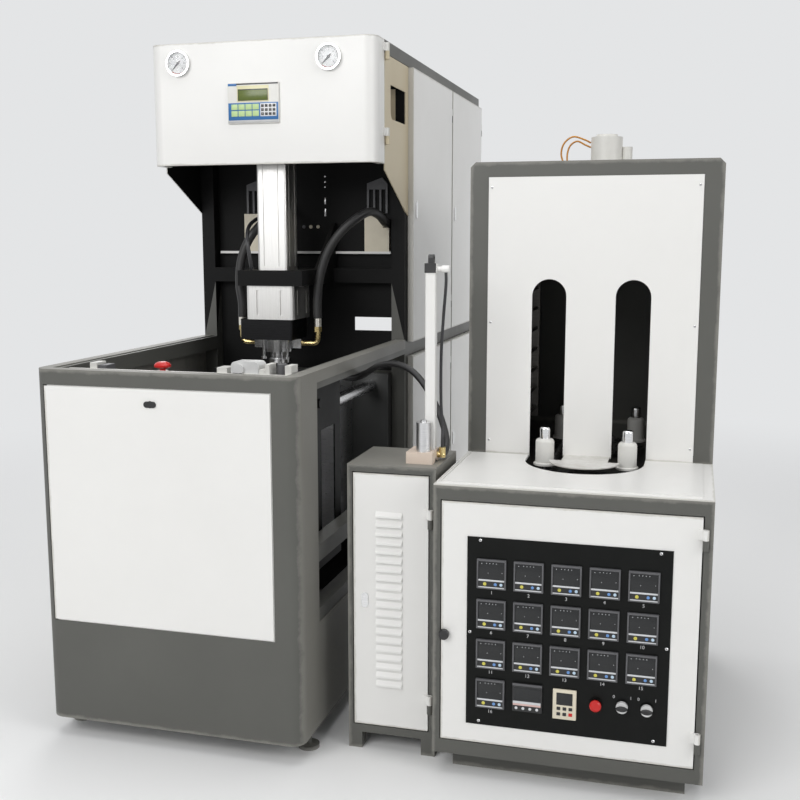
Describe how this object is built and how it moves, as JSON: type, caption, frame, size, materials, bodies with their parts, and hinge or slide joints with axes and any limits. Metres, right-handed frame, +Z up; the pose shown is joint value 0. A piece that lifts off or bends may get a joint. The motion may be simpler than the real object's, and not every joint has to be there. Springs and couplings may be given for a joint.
{
  "type": "blow moulding machine",
  "caption": "Semi-automatic stretch blow moulding machine set: waist-high clamp box under an overhanging header, slim air cabinet with an upright cylinder, and preform heater with a lamp hood.",
  "frame": {"origin": "on the floor, under the middle of the whole set", "axes": "+X to the right seen from the operator, +Y from the front to the back, +Z up"},
  "size_m": [1.7185, 2.225, 1.932],
  "materials": {
    "dark_paint": "dark warm grey powder coat, fine orange peel",
    "white_paint": "warm white powder coat, satin",
    "black_paint": "black powder coat, matt",
    "black_lock": "black moulded plastic",
    "chrome": "bright ground and plated",
    "aluminium": "anodised and milled",
    "cast_iron": "machined plate, oiled",
    "brushed_steel": "plain steel, oiled",
    "black_rubber": "black rubber hose, slight sheen",
    "white_plastic": "off white moulded plastic",
    "blue_plastic": "printed membrane keypad in blue",
    "red_plastic": "red moulded plastic",
    "grey_plastic": "grey instrument housings",
    "pale_plastic": "pale grey moulded plastic",
    "black_panel": "black laminate panel",
    "mandrel_white": "white turned plastic",
    "orange_lead": "yellow to orange cable covering"
  },
  "bodies": {
    "base": {"moulder_frame": "dark_paint", "front_casing": "dark_paint", "front_panel": "white_paint", "cabinet_shell": "white_paint", "inner_panel": "black_paint", "head_plate": "black_paint", "seal_cylinder": "aluminium", "stretch_cylinder": "aluminium", "blow_nozzle": "chrome", "air_hoses": "black_rubber", "valve_shelf": "white_plastic", "end_plate": "dark_paint", "tie_bars": "chrome", "fixed_platen": "dark_paint", "rear_mould": "aluminium", "air_cabinet": "dark_paint", "cylinder_base": "aluminium", "upright_cylinder": "aluminium", "heater_cabinet": "dark_paint", "deck_plate": "white_paint", "hood": "dark_paint", "hood_panel": "white_paint", "lamp_rack": "aluminium", "chain": "brushed_steel", "chain_wheels": "brushed_steel", "hood_motor": "white_plastic", "motor_leads": "orange_lead"},
    "cover": {"header_cover": "white_paint", "pressure_gauges": "chrome", "controller": "blue_plastic"},
    "left_needle": {"left_needle": "black_lock"},
    "right_needle": {"right_needle": "black_lock"},
    "upper_door_front": {"upper_door_front": "white_paint"},
    "upper_door_rear": {"upper_door_rear": "white_paint"},
    "lower_door_front": {"lower_door_front": "white_paint"},
    "lower_door_rear": {"lower_door_rear": "white_paint"},
    "side_guard": {"side_guard": "black_paint"},
    "front_latch": {"front_latch": "black_lock"},
    "stop_button": {"stop_button": "red_plastic"},
    "sealing_bell": {"sealing_bell": "chrome"},
    "stretch_rod": {"stretch_rod": "chrome"},
    "clamp": {"moving_platen": "dark_paint", "front_mould": "aluminium"},
    "front_link": {"front_link": "cast_iron"},
    "rear_link": {"rear_link": "cast_iron"},
    "clamp_barrel": {"clamp_barrel": "aluminium"},
    "clamp_rod": {"clamp_rod": "chrome"},
    "louvred_door": {"louvred_door": "white_paint"},
    "cabinet_lock": {"cabinet_lock": "black_lock"},
    "heater_door": {"heater_door": "white_paint", "control_panel": "black_panel", "regulators": "grey_plastic"},
    "door_knob": {"door_knob": "black_lock"},
    "push_button": {"push_button": "red_plastic"},
    "left_selector": {"left_selector": "pale_plastic"},
    "right_selector": {"right_selector": "pale_plastic"},
    "mandrel_1": {"mandrel_1": "mandrel_white"},
    "mandrel_2": {"mandrel_2": "mandrel_white"},
    "mandrel_3": {"mandrel_3": "mandrel_white"},
    "mandrel_4": {"mandrel_4": "mandrel_white"}
  },
  "joints": [
    {"name": "cover_swing", "type": "hinge", "parent": "base", "child": "cover", "pos_m": [-0.1205, -0.335, 1.75], "axis": [0, 0, 1], "range_deg": [0, 110]},
    {"name": "left_needle_turn", "type": "hinge", "parent": "cover", "child": "left_needle", "pos_m": [-0.757, -0.431, 1.873], "axis": [0, 1, 0], "range_deg": [0, 270]},
    {"name": "right_needle_turn", "type": "hinge", "parent": "cover", "child": "right_needle", "pos_m": [-0.271, -0.431, 1.873], "axis": [0, 1, 0], "range_deg": [0, 270]},
    {"name": "upper_front_swing", "type": "hinge", "parent": "base", "child": "upper_door_front", "pos_m": [-0.118, 0.526, 1.45], "axis": [0, 0, 1], "range_deg": [0, 90]},
    {"name": "upper_rear_swing", "type": "hinge", "parent": "base", "child": "upper_door_rear", "pos_m": [-0.118, 1.102, 1.45], "axis": [0, 0, 1], "range_deg": [0, 100]},
    {"name": "lower_front_swing", "type": "hinge", "parent": "base", "child": "lower_door_front", "pos_m": [-0.118, 0.526, 0.55], "axis": [0, 0, 1], "range_deg": [0, 90]},
    {"name": "lower_rear_swing", "type": "hinge", "parent": "base", "child": "lower_door_rear", "pos_m": [-0.118, 1.102, 0.55], "axis": [0, 0, 1], "range_deg": [0, 100]},
    {"name": "guard_slide", "type": "slide", "parent": "base", "child": "side_guard", "axis": [0, 1, 0], "range_m": [-0.1, 0]},
    {"name": "front_latch_turn", "type": "hinge", "parent": "base", "child": "front_latch", "pos_m": [-0.525, -1.111, 0.928], "axis": [0, 1, 0], "range_deg": [0, 90]},
    {"name": "stop_press", "type": "slide", "parent": "base", "child": "stop_button", "axis": [0, 0, -1], "range_m": [0, 0.005], "stiffness_N_per_m": 900},
    {"name": "bell_slide", "type": "slide", "parent": "base", "child": "sealing_bell", "axis": [0, 0, -1], "range_m": [0, 0.043]},
    {"name": "stretch_slide", "type": "slide", "parent": "base", "child": "stretch_rod", "axis": [0, 0, -1], "range_m": [0, 0.47]},
    {"name": "clamp_slide", "type": "slide", "parent": "base", "child": "clamp", "axis": [0, 1, 0], "range_m": [0, 0.2995]},
    {"name": "front_link_swing", "type": "hinge", "parent": "base", "child": "front_link", "pos_m": [-0.493, -0.971, 0.645], "axis": [1, 0, 0], "range_deg": [0, 70.06]},
    {"name": "rear_link_swing", "type": "hinge", "parent": "clamp", "child": "rear_link", "pos_m": [-0.493, -0.866, 0.645], "axis": [1, 0, 0], "range_deg": [-70.06, 0]},
    {"name": "barrel_swing", "type": "hinge", "parent": "base", "child": "clamp_barrel", "pos_m": [-0.493, -0.84362, 0.15], "axis": [1, 0, 0], "range_deg": [-23.03, 0]},
    {"name": "ram_slide", "type": "slide", "parent": "clamp_barrel", "child": "clamp_rod", "axis": [0, -0.243, 0.97], "range_m": [0, 0.17552]},
    {"name": "louvred_door_swing", "type": "hinge", "parent": "base", "child": "louvred_door", "pos_m": [0.172, -0.9685, 0.4], "axis": [0, 0, 1], "range_deg": [0, 95]},
    {"name": "cabinet_lock_turn", "type": "hinge", "parent": "louvred_door", "child": "cabinet_lock", "pos_m": [-0.004, -0.961, 0.412], "axis": [0, 1, 0], "range_deg": [0, 90]},
    {"name": "heater_door_swing", "type": "hinge", "parent": "base", "child": "heater_door", "pos_m": [0.841, -1.0515, 0.4], "axis": [0, 0, 1], "range_deg": [0, 110]},
    {"name": "door_knob_turn", "type": "hinge", "parent": "heater_door", "child": "door_knob", "pos_m": [0.228, -1.044, 0.375], "axis": [0, 1, 0], "range_deg": [0, 90]},
    {"name": "push_button_press", "type": "slide", "parent": "heater_door", "child": "push_button", "axis": [0, 1, 0], "range_m": [0, 0.003], "stiffness_N_per_m": 400},
    {"name": "left_selector_turn", "type": "hinge", "parent": "heater_door", "child": "left_selector", "pos_m": [0.665, -1.044, 0.237], "axis": [0, 1, 0], "range_deg": [-45, 45]},
    {"name": "right_selector_turn", "type": "hinge", "parent": "heater_door", "child": "right_selector", "pos_m": [0.723, -1.044, 0.236], "axis": [0, 1, 0], "range_deg": [-45, 45]},
    {"name": "mandrel_1_spin", "type": "hinge", "parent": "base", "child": "mandrel_1", "pos_m": [0.638, -0.66658, 0.76], "axis": [0, 0, 1], "continuous": true},
    {"name": "mandrel_2_spin", "type": "hinge", "parent": "base", "child": "mandrel_2", "pos_m": [0.638, -0.2536, 0.76], "axis": [0, 0, 1], "continuous": true},
    {"name": "mandrel_3_spin", "type": "hinge", "parent": "base", "child": "mandrel_3", "pos_m": [0.418, -0.2536, 0.76], "axis": [0, 0, 1], "continuous": true},
    {"name": "mandrel_4_spin", "type": "hinge", "parent": "base", "child": "mandrel_4", "pos_m": [0.418, -0.66658, 0.76], "axis": [0, 0, 1], "continuous": true}
  ],
  "couplings": [
    {"joint": "front_link_swing", "follows": "clamp_slide", "rad_per_m": 4.08},
    {"joint": "rear_link_swing", "follows": "clamp_slide", "rad_per_m": -4.08},
    {"joint": "barrel_swing", "follows": "clamp_slide", "rad_per_m": -1.3391},
    {"joint": "ram_slide", "follows": "clamp_slide", "ratio": 0.58439},
    {"joint": "mandrel_2_spin", "follows": "mandrel_1_spin", "ratio": 1},
    {"joint": "mandrel_3_spin", "follows": "mandrel_1_spin", "ratio": 1},
    {"joint": "mandrel_4_spin", "follows": "mandrel_1_spin", "ratio": 1}
  ]
}
